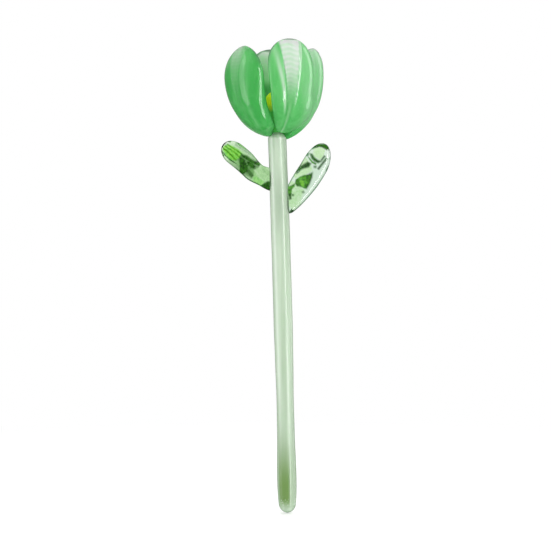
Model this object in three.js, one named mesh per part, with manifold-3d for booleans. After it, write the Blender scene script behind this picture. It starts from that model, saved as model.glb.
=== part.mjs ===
// Lampworked glass tulip: five petals cup a pistil bead on top of a drawn stem that carries two leaves.
// Millimetres, +Z up. The origin is the lowest point of the stem, and the flower faces -Y.
import * as THREE from "three";
import { mergeVertices } from "three/addons/utils/BufferGeometryUtils.js";
import Module from "manifold-3d";

const wasm = await Module();
wasm.setup();

// Every fused joint is drawn with this gap between the two pieces of glass.
const FUSE_GAP = 0.3;

// Stem: a rod drawn by hand, with a fire-polished foot, a slight waist and a domed top.
const STEM_LENGTH = 128.6;
const STEM_RADIUS = 3.2;
const STEM_RADIUS_HEIGHT = 66;
const STEM_FOOT_RADIUS = 3.3;
const STEM_FOOT_HEIGHT = 11;
const STEM_FOOT_ROUND = 3.4;
const STEM_FOOT_END_RADIUS = 2.95;
const STEM_WAIST_RADIUS = 2.9;
const STEM_WAIST_HEIGHT = 33;
const STEM_SHOULDER_RADIUS = 3.1;
const STEM_DOME_RISE = 2.6;
// How far the top stands off plumb towards -X: the straight lean, and the bow of the rod on top of it.
const STEM_LEAN = 2.27;
const STEM_BOW = 1.3;

// Pistil: an egg-shaped bead on a short neck. Heights are above the top of the stem's dome.
const PISTIL_RADIUS = 3.9;
const PISTIL_BEAD_HEIGHT = 8.8;
const PISTIL_HEIGHT = 13.4;
const PISTIL_NECK_RADIUS = 2;
const PISTIL_NECK_HEIGHT = 2.2;
const PISTIL_FOOT_RADIUS = 2.4;

// Bloom: heights are above the stem's shoulder, where the dome begins.
const BLOOM_RADIUS = 17;
const PETAL_THICKNESS = 4.4;
const PETAL_CLAW_THICKNESS = 3;
// How far a claw's end reaches in past the stem's shoulder before it is seated on the dome.
const PETAL_CLAW_BITE = 1.4;
const PETAL_CLAW_ROUND = 2.4;
// How far from its tip a petal begins to turn to one side.
const PETAL_TIP_TURN_LENGTH = 5;
// Below 1, a petal's section is fuller towards its edges than an ellipse.
const PETAL_SECTION_POWER = 0.8;
// The channel pressed down the outer face of each petal, as shares of the petal's width at claw and tip.
const CHANNEL_DEPTH = 1.4;
const CHANNEL_CLAW_SHARE = 0.1;
const CHANNEL_TIP_SHARE = 0.5;

// The seams between neighbouring petals, as turns round the bloom's axis from the front towards +X: one turn
// up to one height, another from a second height up, where the petals have also parted by an angle.
const SEAMS = [
  { clawTurn: -19, clawHeight: 2, turn: -11, height: 11, parting: 8 },
  { clawTurn: 92, clawHeight: 5, turn: 58.6, height: 15, parting: 1 },
  { clawTurn: 150, clawHeight: 2, turn: 138, height: 11, parting: 10 },
  { clawTurn: 219.6, clawHeight: 2, turn: 219.6, height: 11, parting: 1.5 },
  { clawTurn: 271, clawHeight: 2, turn: 271, height: 11, parting: 1.5 },
];
const PARTING_START = 6;
const PARTING_END = 18;
// One petal after each seam. The underside of its claw sits at a height on the dome, it opens a little more
// or less than the bloom's radius, its tip leans in from its belly and may turn to one side, and its channel
// lies off its middle by a share of its half width, towards the seam before it.
const PETALS = [
  {
    name: "petal_front", height: 31.5, belly: 20.5, clawSeat: 1.5, open: 0,
    tipLean: 1.8, tipTurn: 0, tipRound: 8.5, channelAside: 0.2,
  },
  {
    name: "petal_right", height: 29.3, belly: 22.5, clawSeat: -0.9, open: -0.3,
    tipLean: 1.2, tipTurn: -16, tipRound: 6, channelAside: 0,
  },
  {
    name: "petal_back", height: 32.2, belly: 20.5, clawSeat: -0.2, open: 0,
    tipLean: 2.3, tipTurn: 0, tipRound: 8.5, channelAside: 0,
  },
  {
    name: "petal_back_left", height: 30.6, belly: 20.5, clawSeat: 0.3, open: 0,
    tipLean: 2.5, tipTurn: 0, tipRound: 8.5, channelAside: 0,
  },
  {
    name: "petal_left", height: 30.3, belly: 20.5, clawSeat: 0.2, open: 0.5,
    tipLean: 3.2, tipTurn: 0, tipRound: 8.5, channelAside: 0,
  },
];

// Leaves: paddles fused to the stem's sides. Each is drawn from the stem's centre line, at a drop below the
// shoulder, and tilts from upright towards its side.
const LEAVES = [
  {
    name: "leaf_left", side: -1, drop: 17, tilt: 51.4, length: 24.2, width: 7.7, rootWidth: 5.8,
    thickness: 4, rootRound: 4.5, tipRound: 5.2, belly: 17, arch: 0,
  },
  {
    name: "leaf_right", side: 1, drop: 24.4, tilt: 35, length: 27.4, width: 9, rootWidth: 6.4,
    thickness: 3.8, rootRound: 2.4, tipRound: 8, belly: 15, arch: 1.2,
  },
];

// Facets: sides round each piece, rings or steps along it.
const STEM_SIDES = 28;
const STEM_END_STEPS = 6;
const STEM_SIDE_STEPS = 20;
const PISTIL_SIDES = 24;
const PISTIL_SIDE_STEPS = 10;
const PISTIL_CROWN_STEPS = 7;
const PETAL_RINGS = 20;
const PETAL_SIDES = 22;
const LEAF_RINGS = 18;
const LEAF_SIDES = 18;

const { lerp, smoothstep, degToRad } = THREE.MathUtils;
const shoulderHeight = STEM_LENGTH - STEM_DOME_RISE;

const opalStem = new THREE.MeshStandardMaterial({ color: 0xc4dcc0, roughness: 0.35, metalness: 0 });
const jadeOpal = new THREE.MeshStandardMaterial({ color: 0x5cbf68, roughness: 0.12, metalness: 0 });
const yellowGlass = new THREE.MeshStandardMaterial({ color: 0xc2b312, roughness: 0.2, metalness: 0 });
const leafGlass = new THREE.MeshStandardMaterial({ color: 0x7fb958, roughness: 0.05, metalness: 0 });

// Solids

function toSolid(geometry) {
  const bare = geometry.clone();
  bare.deleteAttribute("normal");
  bare.deleteAttribute("uv");
  const merged = mergeVertices(bare);
  const vertProperties = new Float32Array(merged.getAttribute("position").array);
  const triVerts = new Uint32Array(merged.getIndex().array);
  return new wasm.Manifold(new wasm.Mesh({ numProp: 3, vertProperties, triVerts }));
}

function toGeometry(solid) {
  const { vertProperties, triVerts } = solid.getMesh();
  const geometry = new THREE.BufferGeometry();
  geometry.setAttribute("position", new THREE.BufferAttribute(vertProperties, 3));
  geometry.setIndex(new THREE.BufferAttribute(triVerts, 1));
  geometry.computeVertexNormals();
  return geometry;
}

// Cuts grown copies of neighbouring pieces out of a piece, all in the frame of the piece's own group.
function seat(geometry, cutters) {
  const cut = cutters.reduce((solid, cutter) => solid.subtract(toSolid(cutter)), toSolid(geometry));
  return toGeometry(cut);
}

function mesh(name, geometry, material) {
  const piece = new THREE.Mesh(geometry, material);
  piece.name = name;
  return piece;
}

// Moves every vertex of a geometry to the point that place gives for it.
function reshape(geometry, place) {
  const position = geometry.getAttribute("position");
  const point = new THREE.Vector3();
  for (let i = 0; i < position.count; i += 1) {
    place(point.fromBufferAttribute(position, i));
    position.setXYZ(i, point.x, point.y, point.z);
  }
  return geometry;
}

// A body with two round ends: a sphere whose poles are the ends, along 0 and along 1. place takes how far
// along a vertex is and its cosine and sine round the section.
function roundEndedBody(sides, rings, place) {
  return reshape(new THREE.SphereGeometry(1, sides, rings), (point) => {
    const along = (1 + point.y) / 2;
    const around = Math.atan2(point.x, point.z);
    point.copy(place(along, Math.cos(around), Math.sin(around)));
  });
}

// How full a section is at a distance from a rounded end: 0 at the end, 1 from the end of the rounding on.
function roundEnd(distance, round) {
  const inside = Math.max(0, 1 - distance / round);
  return Math.sqrt(1 - inside * inside);
}

// Stem

function stemCentre(height) {
  const rise = height / STEM_LENGTH;
  return -(STEM_LEAN + STEM_BOW * rise) * rise;
}

// The rod's surface, grown all round by a clearance.
function stemGeometry(grow) {
  const foot = new THREE.EllipseCurve(
    0, STEM_FOOT_ROUND, STEM_FOOT_END_RADIUS + grow, STEM_FOOT_ROUND + grow, -Math.PI / 2, 0,
  );
  const side = new THREE.SplineCurve([
    new THREE.Vector2(STEM_FOOT_END_RADIUS + grow, STEM_FOOT_ROUND),
    new THREE.Vector2(STEM_FOOT_RADIUS + grow, STEM_FOOT_HEIGHT),
    new THREE.Vector2(STEM_WAIST_RADIUS + grow, STEM_WAIST_HEIGHT),
    new THREE.Vector2(STEM_RADIUS + grow, STEM_RADIUS_HEIGHT),
    new THREE.Vector2(STEM_SHOULDER_RADIUS + grow, shoulderHeight),
  ]);
  const dome = new THREE.EllipseCurve(
    0, shoulderHeight, STEM_SHOULDER_RADIUS + grow, STEM_DOME_RISE + grow, 0, Math.PI / 2,
  );
  const profile = [
    ...foot.getPoints(STEM_END_STEPS),
    ...side.getPoints(STEM_SIDE_STEPS).slice(1),
    ...dome.getPoints(STEM_END_STEPS).slice(1),
  ];
  const rod = new THREE.LatheGeometry(profile, STEM_SIDES).rotateX(Math.PI / 2);
  return reshape(rod, (point) => point.setX(point.x + stemCentre(point.z)));
}

// Bloom: its group stands on the stem's shoulder and follows the rod's slope there.

function bloomGroup() {
  const group = new THREE.Group();
  const slope = -(STEM_LEAN + 2 * STEM_BOW) / STEM_LENGTH;
  group.position.set(stemCentre(shoulderHeight), 0, shoulderHeight);
  group.rotation.y = Math.atan(slope);
  group.updateMatrix();
  return group;
}

function pistilGeometry(grow) {
  const top = STEM_DOME_RISE;
  const side = new THREE.SplineCurve([
    new THREE.Vector2(PISTIL_FOOT_RADIUS + grow, 0),
    new THREE.Vector2(PISTIL_NECK_RADIUS + grow, top + PISTIL_NECK_HEIGHT),
    new THREE.Vector2(PISTIL_RADIUS + grow, top + PISTIL_BEAD_HEIGHT),
  ]);
  const crownRise = PISTIL_HEIGHT - PISTIL_BEAD_HEIGHT;
  const crown = new THREE.EllipseCurve(
    0, top + PISTIL_BEAD_HEIGHT, PISTIL_RADIUS + grow, crownRise + grow, 0, Math.PI / 2,
  );
  const profile = [
    new THREE.Vector2(0, 0),
    ...side.getPoints(PISTIL_SIDE_STEPS),
    ...crown.getPoints(PISTIL_CROWN_STEPS).slice(1),
  ];
  return new THREE.LatheGeometry(profile, PISTIL_SIDES).rotateX(Math.PI / 2);
}

// Pushes a section's cosine or sine out towards the corners of its box.
function fuller(value) {
  return Math.sign(value) * Math.abs(value) ** PETAL_SECTION_POWER;
}

function seamTurn({ clawTurn, clawHeight, turn, height }, level) {
  return lerp(clawTurn, turn, smoothstep(level, clawHeight, height));
}

// A petal is a thick patch of an egg-shaped cup: an elliptical meridian from the claw out to the belly, and
// another from the belly in to the tip.
function petalGeometry(petal, startSeam, endSeam) {
  const { height, belly, clawSeat, open, tipLean, tipTurn, tipRound, channelAside } = petal;
  const beltRadius = BLOOM_RADIUS + open - PETAL_THICKNESS / 2;
  const clawAngle = -Math.acos((STEM_SHOULDER_RADIUS - PETAL_CLAW_BITE) / beltRadius);
  const tipAngle = Math.acos(1 - tipLean / beltRadius);
  const clawHeight = clawSeat + PETAL_CLAW_THICKNESS / 2;
  const lowerRise = (clawHeight - belly) / Math.sin(clawAngle);
  const upperRise = (height - belly) / Math.sin(tipAngle);
  // The petal's length along its meridian, taken as an arc of the mean radius.
  const length = (tipAngle - clawAngle) * (beltRadius + lowerRise) / 2;

  return roundEndedBody(PETAL_SIDES, PETAL_RINGS, (along, cosine, sine) => {
    const across = fuller(cosine);
    const outward = fuller(sine);
    const angle = lerp(clawAngle, tipAngle, along);
    const rise = angle < 0 ? lowerRise : upperRise;
    const radius = beltRadius * Math.cos(angle);
    const level = belly + rise * Math.sin(angle);
    const normal = new THREE.Vector2(Math.cos(angle) / beltRadius, Math.sin(angle) / rise).normalize();

    const fromClaw = along * length;
    const fromTip = length - fromClaw;
    const clawFullness = roundEnd(fromClaw, PETAL_CLAW_ROUND);
    const fullness = clawFullness * roundEnd(fromTip, tipRound);
    const startTurn = seamTurn(startSeam, level);
    const endTurn = seamTurn(endSeam, level);
    const parted = smoothstep(fromClaw, PARTING_START, PARTING_END) / 2;
    const startEdge = degToRad(startTurn + startSeam.parting * parted) + FUSE_GAP / 2 / radius;
    const endEdge = degToRad(endTurn - endSeam.parting * parted) - FUSE_GAP / 2 / radius;
    const halfSpread = fullness * (endEdge - startEdge) / 2;
    const swell = smoothstep(fromClaw, 0, length / 2);
    const thickness = lerp(PETAL_CLAW_THICKNESS, PETAL_THICKNESS, swell);

    const channelShare = lerp(CHANNEL_CLAW_SHARE, CHANNEL_TIP_SHARE, along);
    const offChannel = (across - channelAside) / channelShare;
    const inChannel = outward > 0 ? Math.max(0, 1 - offChannel ** 2) : 0;
    const pressed = CHANNEL_DEPTH * swell * inChannel ** 2;
    const depth = outward * fullness * thickness / 2 - pressed * fullness;

    const tipShare = 1 - smoothstep(fromTip, 0, PETAL_TIP_TURN_LENGTH);
    const azimuth = (startEdge + endEdge) / 2 + degToRad(tipTurn) * tipShare - across * halfSpread;
    const reach = radius + depth * normal.x;
    return new THREE.Vector3(
      reach * Math.sin(azimuth), -reach * Math.cos(azimuth), level + depth * normal.y,
    );
  });
}

// Leaves

function leafGroup({ side, drop, tilt }) {
  const group = new THREE.Group();
  const height = shoulderHeight - drop;
  group.position.set(stemCentre(height), 0, height);
  group.rotation.y = side * degToRad(tilt);
  group.updateMatrix();
  return group;
}

// A paddle along its group's Z: narrow at the root, broad at the belly, round at the tip, arched across X.
function leafGeometry({ length, width, rootWidth, thickness, rootRound, tipRound, belly, arch }) {
  return roundEndedBody(LEAF_SIDES, LEAF_RINGS, (along, across, outward) => {
    const distance = along * length;
    const fullness = roundEnd(distance, rootRound) * roundEnd(length - distance, tipRound);
    const halfWidth = lerp(rootWidth, width, smoothstep(distance, 0, belly)) / 2;
    const bend = arch * Math.sin(Math.PI * along);
    return new THREE.Vector3(
      bend + across * halfWidth * fullness, outward * fullness * thickness / 2, distance,
    );
  });
}

// Assembly

const flower = new THREE.Group();
flower.add(mesh("stem_rod", stemGeometry(0), opalStem));
const stemClear = stemGeometry(FUSE_GAP);

const bloom = bloomGroup();
const stemInBloom = stemClear.clone().applyMatrix4(bloom.matrix.clone().invert());
const pistilClear = pistilGeometry(FUSE_GAP);
bloom.add(mesh("pistil", seat(pistilGeometry(0), [stemInBloom]), yellowGlass));
PETALS.forEach((petal, index) => {
  const { clawTurn, turn } = SEAMS[0];
  const nextSeam = SEAMS[index + 1] ?? { ...SEAMS[0], clawTurn: clawTurn + 360, turn: turn + 360 };
  const blank = petalGeometry(petal, SEAMS[index], nextSeam);
  bloom.add(mesh(petal.name, seat(blank, [stemInBloom, pistilClear]), jadeOpal));
});
flower.add(bloom);

for (const leaf of LEAVES) {
  const group = leafGroup(leaf);
  const stemInLeaf = stemClear.clone().applyMatrix4(group.matrix.clone().invert());
  group.add(mesh(leaf.name, seat(leafGeometry(leaf), [stemInLeaf]), leafGlass));
  flower.add(group);
}

export default flower;
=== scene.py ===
"""Looks of a small lampworked glass tulip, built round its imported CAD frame.

Five jade opal petals cup a yellow bead on a pale drawn stem, which carries two clear green leaves. Blender
works in metres, +Z up, in the frame's own axes. Sizes below are millimetres where nothing else is said.
"""

import logging
import math
from dataclasses import dataclass
from enum import Enum
from functools import partial

import bpy
import numpy as np
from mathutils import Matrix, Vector


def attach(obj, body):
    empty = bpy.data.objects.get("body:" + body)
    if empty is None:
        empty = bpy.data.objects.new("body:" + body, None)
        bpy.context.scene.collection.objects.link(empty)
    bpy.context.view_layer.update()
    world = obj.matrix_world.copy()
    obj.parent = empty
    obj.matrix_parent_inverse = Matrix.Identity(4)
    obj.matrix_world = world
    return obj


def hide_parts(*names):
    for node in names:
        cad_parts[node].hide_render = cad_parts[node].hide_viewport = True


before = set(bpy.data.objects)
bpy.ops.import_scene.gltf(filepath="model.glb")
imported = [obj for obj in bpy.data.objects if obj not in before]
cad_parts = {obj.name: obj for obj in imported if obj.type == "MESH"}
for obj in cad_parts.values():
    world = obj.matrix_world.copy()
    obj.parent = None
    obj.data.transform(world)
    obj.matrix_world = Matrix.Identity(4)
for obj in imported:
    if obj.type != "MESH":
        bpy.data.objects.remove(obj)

LOG = logging.getLogger("glass_tulip")
MM = 0.001
BODY = "root"
WHITE = (1.0, 1.0, 1.0)

Array = np.ndarray
Span = tuple[float, float]
Colour = tuple[float, float, float]
Shades = tuple[Colour, Colour]
Piece = bpy.types.Object
Material = bpy.types.Material
Node = bpy.types.Node
Socket = bpy.types.NodeSocket
Tree = bpy.types.NodeTree


class Slot(Enum):
    """The record's material slots."""

    STEM = "stem_opal"
    PISTIL = "pistil_yellow"
    PETAL = "petal_jade"
    LEAF = "leaf_clear_green"


class Tone(Enum):
    """The deeper glasses of the leaves and the painted shade along their edges, in the order they are laid.
    """

    # Painted shade: a grey outline along the edges, not a glass of its own.
    RIM = "rim"
    WASH = "wash"
    SAGE = "sage"
    LIME = "lime"
    GREEN = "green"
    DEEP = "deep"


class Side(Enum):
    """The side of the stem that a leaf grows from, as the sign of its lean along X."""

    LEFT = -1
    RIGHT = 1


# Curves and skins


def share_between(value: Array, low: float, high: float) -> Array:
    """Tells how far a value has come from low to high, held to 0 to 1."""
    return np.clip((np.asarray(value, float) - low) / (high - low), 0.0, 1.0)


def smoothstep(value: Array, low: float, high: float) -> Array:
    """Eases from 0 at low to 1 at high."""
    share = share_between(value, low, high)
    return share * share * (3.0 - 2.0 * share)


def glide(value: Array, low: float, high: float) -> Array:
    """Eases like smoothstep, but without a jump of curvature at its ends, which gloss would show."""
    share = share_between(value, low, high)
    return share**3 * (10.0 - 15.0 * share + 6.0 * share * share)


def blend(start: Array | float, end: Array | float, share: Array) -> Array:
    """Mixes two values by the share of the second."""
    return start + (end - start) * share


def bell(value: Array, centre: Array | float, spread: Array | float) -> Array:
    """Gives a smooth hump of height 1 that falls to about a third one spread away from its centre."""
    return np.exp(-(((value - centre) / spread) ** 2))


def round_end(distance: Array, rounding: float, power: float = 2.0) -> Array:
    """Tells how full a section is near a rounded end: an ellipse at power 2, fuller shoulders above it."""
    inside = np.clip(1.0 - distance / rounding, 0.0, 1.0)
    return (1.0 - inside**power) ** (1.0 / power)


def fuller(value: Array, power: Array | float) -> Array:
    """Pushes a section's cosine or sine out towards the corners of its box."""
    return np.sign(value) * np.abs(value) ** power


def full_turn(sides: int) -> Array:
    """Gives the angles of a ring's points, as one row."""
    return np.linspace(0.0, 2.0 * math.pi, sides, endpoint=False)[None, :]


def dense_ends(steps: int) -> Array:
    """Gives places from 0 to 1 that lie closer together at both ends, as one column."""
    return (1.0 - np.cos(np.linspace(0.0, math.pi, steps + 1)))[:, None] / 2.0


def quarter_ellipse(centre: float, radius: float, rise: float, steps: int, start: float = 0.0) -> Array:
    """Draws a quarter of an ellipse about a height on the axis, as rows of radius and height."""
    turns = np.linspace(start, start + math.pi / 2, steps + 1)
    return np.stack([radius * np.cos(turns), centre + rise * np.sin(turns)], axis=1)


def smooth_curve(points: list[Span], steps: int) -> Array:
    """Draws a smooth curve through points, with the first and the last held as they are.

    Args:
        points: The points as pairs.
        steps: How many steps the whole curve has.

    Returns:
        The curve's points as rows, one more than the steps.
    """
    held = np.asarray(points, float)
    spans = len(held) - 1
    place = np.linspace(0.0, spans, steps + 1)
    first = np.minimum(place.astype(int), spans - 1)
    share = (place - first)[:, None]
    start, end = held[first], held[first + 1]
    pull_start = (end - held[np.maximum(first - 1, 0)]) / 2.0
    pull_end = (held[np.minimum(first + 2, spans)] - start) / 2.0
    return (
        (2.0 * start - 2.0 * end + pull_start + pull_end) * share**3
        + (-3.0 * start + 3.0 * end - 2.0 * pull_start - pull_end) * share**2
        + pull_start * share
        + start
    )


def lathed(reach: Array, turn: Array, height: Array, centre: Array | float = 0.0) -> Array:
    """Sets points round a centre line, as rings of X, Y and Z, with turns from the front towards +X."""
    grids = np.broadcast_arrays(centre + reach * np.sin(turn), -reach * np.cos(turn), height)
    return np.stack(grids, axis=-1)


def skin_faces(count: int, sides: int) -> list[tuple[int, ...]]:
    """Lists the faces of a closed skin: a fan at each end and squares between the rings.

    Args:
        count: How many full rings lie between the two end points.
        sides: How many points each ring has.

    Returns:
        The faces as tuples of point numbers, from 0 for the first end.
    """
    faces: list[tuple[int, ...]] = []
    last = 1 + count * sides
    top = last - sides
    for side in range(sides):
        beside = (side + 1) % sides
        faces.append((0, 1 + beside, 1 + side))
        for low in range(1, top, sides):
            high = low + sides
            faces.append((low + side, low + beside, high + beside, high + side))
        faces.append((last, top + side, top + beside))
    return faces


def linked(name: str, data: bpy.types.ID) -> Piece:
    """Puts data into the scene.

    Args:
        name: The object's name.
        data: A mesh, a lamp or a camera.

    Returns:
        The object that holds it.
    """
    made = bpy.data.objects.new(name, data)
    bpy.context.scene.collection.objects.link(made)
    return made


def closed_piece(name: str, rings: Array, **values: Array) -> Piece:
    """Makes a smooth piece from one closed skin.

    Args:
        name: The piece's name.
        rings: Rings of points in millimetres. The first and the last are drawn together to a point each.
        **values: Numbers that the points carry for the finish, ring by ring.

    Returns:
        The new piece, linked to the scene.
    """
    skin = np.vstack([rings[0].mean(axis=0), rings[1:-1].reshape(-1, 3), rings[-1].mean(axis=0)])
    faces = skin_faces(rings.shape[0] - 2, rings.shape[1])
    low, mid, high = (skin[list(corner)] for corner in zip(*(face[:3] for face in faces)))
    if np.einsum("ij,ij->i", low, np.cross(mid, high)).sum() < 0:
        faces = [face[::-1] for face in faces]

    mesh = bpy.data.meshes.new(name)
    mesh.from_pydata((skin * MM).tolist(), [], faces)
    for key, numbers in values.items():
        grid = np.broadcast_to(numbers, rings.shape[:2])
        carried = np.concatenate([grid[0, :1], grid[1:-1].ravel(), grid[-1, :1]])
        mesh.attributes.new(key, "FLOAT", "POINT").data.foreach_set("value", carried.astype(np.float32))
    mesh.shade_smooth()
    return linked(name, mesh)


def fit(piece: Piece, node: str, material: Material) -> None:
    """Dresses a piece, puts it in a CAD node's place and reports it.

    Args:
        piece: The piece.
        node: The CAD node it stands for.
        material: Its finish.
    """
    piece.data.materials.append(material)
    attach(piece, BODY)
    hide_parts(node)
    LOG.info("%s: %d faces in place of %s", piece.name, len(piece.data.polygons), node)


# Nodes and shared effects


@dataclass(frozen=True)
class Graph:
    """The nodes of a finish, a group or the room, with short ways to add to them."""

    tree: Tree

    def add(self, kind: str, values: dict | None = None, **settings: object) -> Node:
        """Adds a node.

        Args:
            kind: Its type.
            values: Inputs to feed.
            **settings: Properties to set on it.

        Returns:
            The node.
        """
        made = self.tree.nodes.new(kind)
        for key, value in settings.items():
            setattr(made, key, value)
        self.feed(made, values or {})
        return made

    def feed(self, made: Node, values: dict) -> None:
        """Gives inputs of a node their values.

        Args:
            made: The node.
            values: For an input's name or number, a socket to link, a number or a colour.
        """
        for key, source in values.items():
            target = made.inputs[key]
            if isinstance(source, Socket):
                self.tree.links.new(source, target)
            elif target.type == "RGBA":
                target.default_value = (*source, 1.0)
            else:
                target.default_value = source

    def maths(self, operation: str, first: object, second: object) -> Socket:
        """Adds a step of arithmetic, such as ADD."""
        return self.add("ShaderNodeMath", {0: first, 1: second}, operation=operation).outputs[0]

    def times(self, first: object, second: object) -> Socket:
        """Adds a product."""
        return self.maths("MULTIPLY", first, second)

    def mixed(self, share: object, start: object, end: object) -> Socket:
        """Adds a mix of two colours by the share of the second."""
        return self.add("ShaderNodeMix", {0: share, 6: start, 7: end}, data_type="RGBA").outputs[2]

    def ranged(self, value: object, low: object, high: object) -> Socket:
        """Adds a smooth step from 0 at low to 1 at high."""
        inputs = {"Value": value, "From Min": low, "From Max": high}
        return self.add("ShaderNodeMapRange", inputs, interpolation_type="SMOOTHSTEP").outputs["Result"]

    def carried(self, name: str) -> Socket:
        """Reads a value that the mesh carries at its points."""
        return self.add("ShaderNodeAttribute", attribute_name=name).outputs["Fac"]

    def place(self, kind: str) -> Socket:
        """Gives coordinates of a kind, such as Object for the piece's own."""
        return self.add("ShaderNodeTexCoord").outputs[kind]

    def texture(self, kind: str, result: str, across: object, along: object, **values: float) -> Socket:
        """Adds a texture in the piece's own coordinates.

        Args:
            kind: Its kind, such as Noise.
            result: The output to read.
            across: Its scale along X and Y.
            along: Its scale along Z.
            **values: Further inputs by name.

        Returns:
            The output's socket.
        """
        scale = self.add("ShaderNodeCombineXYZ", {"X": across, "Y": across, "Z": along}).outputs[0]
        spot = self.add("ShaderNodeVectorMath", {0: self.place("Object"), 1: scale}, operation="MULTIPLY")
        inputs = {"Vector": spot.outputs[0], "Scale": 1.0, **values}
        return self.add(f"ShaderNodeTex{kind}", inputs).outputs[result]


@dataclass(frozen=True)
class Effect:
    """A look that several finishes share, kept as one node group."""

    name: str
    inputs: tuple[str, ...]
    outputs: tuple[str, ...]

    def results(self, graph: Graph, given: bpy.types.NodeOutputs) -> tuple[Socket, ...]:
        """Works out the group's outputs from its inputs."""
        raise NotImplementedError

    def group(self) -> Tree:
        """Gives the group, and builds it the first time.

        Returns:
            The group's tree.
        """
        made = bpy.data.node_groups.get(self.name)
        if made is None:
            made = bpy.data.node_groups.new(self.name, "ShaderNodeTree")
            for names, way in ((self.inputs, "INPUT"), (self.outputs, "OUTPUT")):
                for name in names:
                    made.interface.new_socket(name, in_out=way, socket_type="NodeSocketFloat")
            graph = Graph(made)
            results = self.results(graph, graph.add("NodeGroupInput").outputs)
            graph.add("NodeGroupOutput", dict(zip(self.outputs, results)))
        return made

    def use(self, graph: Graph, **values: float) -> list[Socket]:
        """Places the group in a finish with a value for each input, and gives its outputs."""
        return list(graph.add("ShaderNodeGroup", values, node_tree=self.group()).outputs)


class FlowStreaks(Effect):
    """Streaks drawn out along the glass while it was soft."""

    def results(self, graph: Graph, given: bpy.types.NodeOutputs) -> tuple[Socket, ...]:
        """Stretches noise upwards and sharpens it into streaks.

        Args:
            graph: The group's nodes.
            given: The group's inputs.

        Returns:
            The streaks.
        """
        along = graph.maths("DIVIDE", given["Scale"], given["Stretch"])
        noise = graph.texture("Noise", "Fac", given["Scale"], along, Detail=3.0, Distortion=0.4)
        return (graph.ranged(noise, 0.38, 0.64),)


class FirePolish(Effect):
    """The soft waves and the uneven gloss of glass that was melted smooth."""

    def results(self, graph: Graph, given: bpy.types.NodeOutputs) -> tuple[Socket, ...]:
        """Takes slow waves for the height and finer clouds for the gloss.

        Args:
            graph: The group's nodes.
            given: The group's inputs.

        Returns:
            The height and the roughness.
        """
        wide, fine = given["Scale"], graph.times(given["Scale"], 3.1)
        wave = graph.texture("Noise", "Fac", wide, wide, Detail=1.0)
        cloud = graph.ranged(graph.texture("Noise", "Fac", fine, fine, Detail=4.0), 0.3, 0.7)
        spread = graph.maths("SUBTRACT", given["Dullest"], given["Glossiest"])
        return wave, graph.maths("ADD", given["Glossiest"], graph.times(cloud, spread))


class SeedBubbles(Effect):
    """Tiny bubbles caught in the glass."""

    def results(self, graph: Graph, given: bpy.types.NodeOutputs) -> tuple[Socket, ...]:
        """Sets dots round scattered points."""
        cells = graph.texture("Voronoi", "Distance", given["Scale"], given["Scale"])
        return (graph.ranged(cells, given["Size"], 0.0),)


STREAKS = FlowStreaks("flow_streaks", ("Scale", "Stretch"), ("Streak",))
POLISH = FirePolish("fire_polish", ("Scale", "Glossiest", "Dullest"), ("Height", "Roughness"))
BUBBLES = SeedBubbles("seed_bubbles", ("Scale", "Size"), ("Dots",))


# Finishes


def surface(name: str) -> tuple[Material, Graph, Node, Node]:
    """Starts a finish.

    Args:
        name: The material's name.

    Returns:
        The material, its nodes, its shader and its output.
    """
    material = bpy.data.materials.new(name)
    material.use_nodes = True
    material.node_tree.nodes.clear()
    graph = Graph(material.node_tree)
    shader = graph.add("ShaderNodeBsdfPrincipled")
    output = graph.add("ShaderNodeOutputMaterial", {"Surface": shader.outputs[0]})
    return material, graph, shader, output


def melt(graph: Graph, shader: Node, depth: float, **polish: float) -> None:
    """Gives a shader the gloss and the soft waves of melted glass.

    Args:
        graph: The finish's nodes.
        shader: Its shader.
        depth: The depth of the waves.
        **polish: A value for each input of the polish.
    """
    height, roughness = POLISH.use(graph, **polish)
    bump = graph.add("ShaderNodeBump", {"Strength": 1.0, "Distance": depth * MM, "Height": height})
    graph.feed(shader, {"Roughness": roughness, "Normal": bump.outputs[0]})


@dataclass(frozen=True)
class JadeOpal:
    """Milky green glass of the petals."""

    name: str
    deep: Colour = (0.07, 0.51, 0.105)
    mint: Colour = (0.19, 0.69, 0.225)
    # Milky white of the glass, also used for painted highlights, painted sheen and painted light.
    milk_and_sheen: Colour = (0.88, 0.96, 0.88)
    thin_milk: Colour = (0.6, 0.97, 0.64)
    # Painted shade: the grey green of the dark outline along the petals' edges and tips.
    rim: Colour = (0.14, 0.28, 0.17)
    swirl: float = 0.4
    least_milk: float = 0.95
    streaked_milk: float = 0.07
    bubble_milk: float = 0.2
    scatter: float = 0.6
    clarity: float = 0.3

    def material(self) -> Material:
        """Makes the finish: deep green that pales to mint along the petal, with milky glass in its pressed
        places, and the painted highlights, painted sheen, painted light and painted shade that the petal
        carries.

        Returns:
            The material.
        """
        material, graph, shader, _ = surface(self.name)
        streak = STREAKS.use(graph, Scale=420.0, Stretch=9.0)[0]
        bubble = BUBBLES.use(graph, Scale=900.0, Size=0.16)[0]
        swirl = graph.times(graph.maths("SUBTRACT", streak, 0.5), self.swirl)
        base = graph.mixed(graph.maths("ADD", graph.carried("pale"), swirl), self.deep, self.mint)
        uneven = graph.maths("ADD", self.least_milk, graph.times(streak, self.streaked_milk))
        # Milky glass together with the painted highlights, sheen and light that the petal carries.
        milky = graph.times(graph.carried("milk_and_sheen"), uneven)
        base = graph.mixed(milky, base, graph.mixed(milky, self.thin_milk, self.milk_and_sheen))
        base = graph.mixed(graph.times(bubble, self.bubble_milk), base, self.milk_and_sheen)
        # Painted shade: a dark outline where the petal carries it.
        base = graph.mixed(graph.carried("rim"), base, self.rim)
        graph.feed(shader, {
            "Base Color": base, "IOR": 1.52, "Subsurface Weight": self.scatter,
            "Subsurface Radius": (0.6, 1.0, 0.6), "Subsurface Scale": 5.0 * MM,
            "Transmission Weight": self.clarity,
        })
        melt(graph, shader, 0.012, Scale=170.0, Glossiest=0.04, Dullest=0.11)
        return material


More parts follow.
